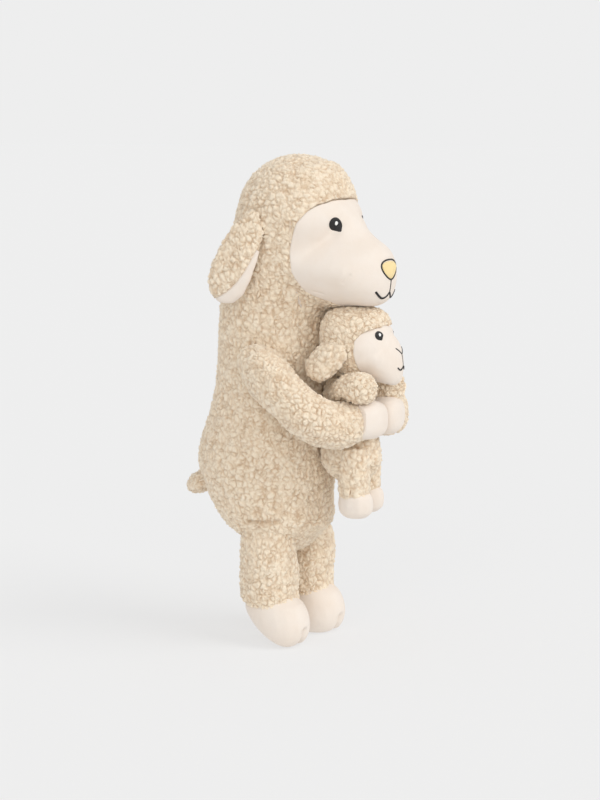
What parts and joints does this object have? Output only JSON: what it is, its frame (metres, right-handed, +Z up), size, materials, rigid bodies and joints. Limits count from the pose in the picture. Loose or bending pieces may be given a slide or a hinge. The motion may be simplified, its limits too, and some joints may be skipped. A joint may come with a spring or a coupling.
{
  "type": "plush sheep",
  "caption": "Stuffed sheep standing on two legs and holding a small lamb in both arms; curly pile body, smooth face, hooves and ear linings.",
  "frame": {"origin": "centre of the bounding box's underside, on the surface that the hooves stand on", "axes": "+Z up, the sheep looks along -Y, its right side lies on -X"},
  "size_m": [0.158, 0.2002, 0.397],
  "materials": {
    "sherpa": "curly pile",
    "velour": "smooth short pile",
    "filling": "loose fibre",
    "black_thread": "satin stitch",
    "white_thread": "satin stitch",
    "yellow_thread": "satin stitch"
  },
  "bodies": {
    "body": {"torso_cover": "sherpa", "head_cover": "sherpa", "lamb_torso_cover": "sherpa", "lamb_head_cover": "sherpa", "face_panel": "velour", "lamb_face_panel": "velour", "torso_filling": "filling", "head_filling": "filling", "lamb_torso_filling": "filling", "lamb_head_filling": "filling", "eye_right": "black_thread", "eye_highlight_right": "white_thread", "lamb_eye_right": "black_thread", "lamb_eye_highlight_right": "white_thread", "eye_left": "black_thread", "eye_highlight_left": "white_thread", "lamb_eye_left": "black_thread", "lamb_eye_highlight_left": "white_thread", "nose_patch": "yellow_thread", "nose_outline": "black_thread", "mouth_thread": "black_thread", "lamb_mouth_thread": "black_thread"},
    "ear_right": {"ear_right": "sherpa", "ear_lining_right": "velour"},
    "arm_right": {"arm_cover_right": "sherpa", "arm_filling_right": "filling", "hand_hoof_right": "velour"},
    "leg_right": {"leg_cover_right": "sherpa", "leg_filling_right": "filling", "foot_hoof_right": "velour"},
    "lamb_ear_right": {"lamb_ear_right": "sherpa"},
    "lamb_arm_right": {"lamb_arm_right": "sherpa"},
    "lamb_leg_right": {"lamb_leg_right": "sherpa", "lamb_hoof_right": "velour"},
    "ear_left": {"ear_left": "sherpa", "ear_lining_left": "velour"},
    "arm_left": {"arm_cover_left": "sherpa", "arm_filling_left": "filling", "hand_hoof_left": "velour"},
    "leg_left": {"leg_cover_left": "sherpa", "leg_filling_left": "filling", "foot_hoof_left": "velour"},
    "lamb_ear_left": {"lamb_ear_left": "sherpa"},
    "lamb_arm_left": {"lamb_arm_left": "sherpa"},
    "lamb_leg_left": {"lamb_leg_left": "sherpa", "lamb_hoof_left": "velour"},
    "tail": {"tail": "sherpa"}
  },
  "joints": [
    {"name": "ear_right_hinge", "type": "hinge", "parent": "body", "child": "ear_right", "pos_m": [-0.046, 0.00505, 0.357], "axis": [0, 1, 0], "range_deg": [0, 75], "stiffness_Nm_per_rad": 0.01},
    {"name": "arm_right_hinge", "type": "hinge", "parent": "body", "child": "arm_right", "pos_m": [-0.046, 0.01905, 0.226], "axis": [0, 0, -1], "range_deg": [0, 60], "stiffness_Nm_per_rad": 0.3},
    {"name": "leg_right_hinge", "type": "hinge", "parent": "body", "child": "leg_right", "pos_m": [0, 0.00505, 0.105], "axis": [-1, 0, 0], "range_deg": [-8, 50], "stiffness_Nm_per_rad": 1.5},
    {"name": "lamb_ear_right_hinge", "type": "hinge", "parent": "body", "child": "lamb_ear_right", "pos_m": [-0.02, -0.05895, 0.256], "axis": [0, 1, 0], "range_deg": [0, 60], "stiffness_Nm_per_rad": 0.01},
    {"name": "lamb_arm_right_hinge", "type": "hinge", "parent": "body", "child": "lamb_arm_right", "pos_m": [-0.018, -0.05295, 0.208], "axis": [-0.7071, 0, -0.7071], "range_deg": [0, 20], "stiffness_Nm_per_rad": 0.05},
    {"name": "lamb_leg_right_hinge", "type": "hinge", "parent": "body", "child": "lamb_leg_right", "pos_m": [0, -0.08395, 0.158], "axis": [-1, 0, 0], "range_deg": [0, 60], "stiffness_Nm_per_rad": 0.03},
    {"name": "ear_left_hinge", "type": "hinge", "parent": "body", "child": "ear_left", "pos_m": [0.046, 0.00505, 0.357], "axis": [0, -1, 0], "range_deg": [0, 75], "stiffness_Nm_per_rad": 0.01},
    {"name": "arm_left_hinge", "type": "hinge", "parent": "body", "child": "arm_left", "pos_m": [0.046, 0.01905, 0.226], "axis": [0, 0, 1], "range_deg": [0, 60], "stiffness_Nm_per_rad": 0.3},
    {"name": "leg_left_hinge", "type": "hinge", "parent": "body", "child": "leg_left", "pos_m": [0, 0.00505, 0.105], "axis": [-1, 0, 0], "range_deg": [-8, 50], "stiffness_Nm_per_rad": 1.5},
    {"name": "lamb_ear_left_hinge", "type": "hinge", "parent": "body", "child": "lamb_ear_left", "pos_m": [0.02, -0.05895, 0.256], "axis": [0, -1, 0], "range_deg": [0, 60], "stiffness_Nm_per_rad": 0.01},
    {"name": "lamb_arm_left_hinge", "type": "hinge", "parent": "body", "child": "lamb_arm_left", "pos_m": [0.018, -0.05295, 0.208], "axis": [-0.7071, 0, 0.7071], "range_deg": [0, 20], "stiffness_Nm_per_rad": 0.05},
    {"name": "lamb_leg_left_hinge", "type": "hinge", "parent": "body", "child": "lamb_leg_left", "pos_m": [0, -0.08395, 0.158], "axis": [-1, 0, 0], "range_deg": [0, 60], "stiffness_Nm_per_rad": 0.03},
    {"name": "tail_hinge", "type": "hinge", "parent": "body", "child": "tail", "pos_m": [0, 0.07505, 0.139], "axis": [1, 0, 0], "range_deg": [0, 25], "stiffness_Nm_per_rad": 0.01}
  ]
}
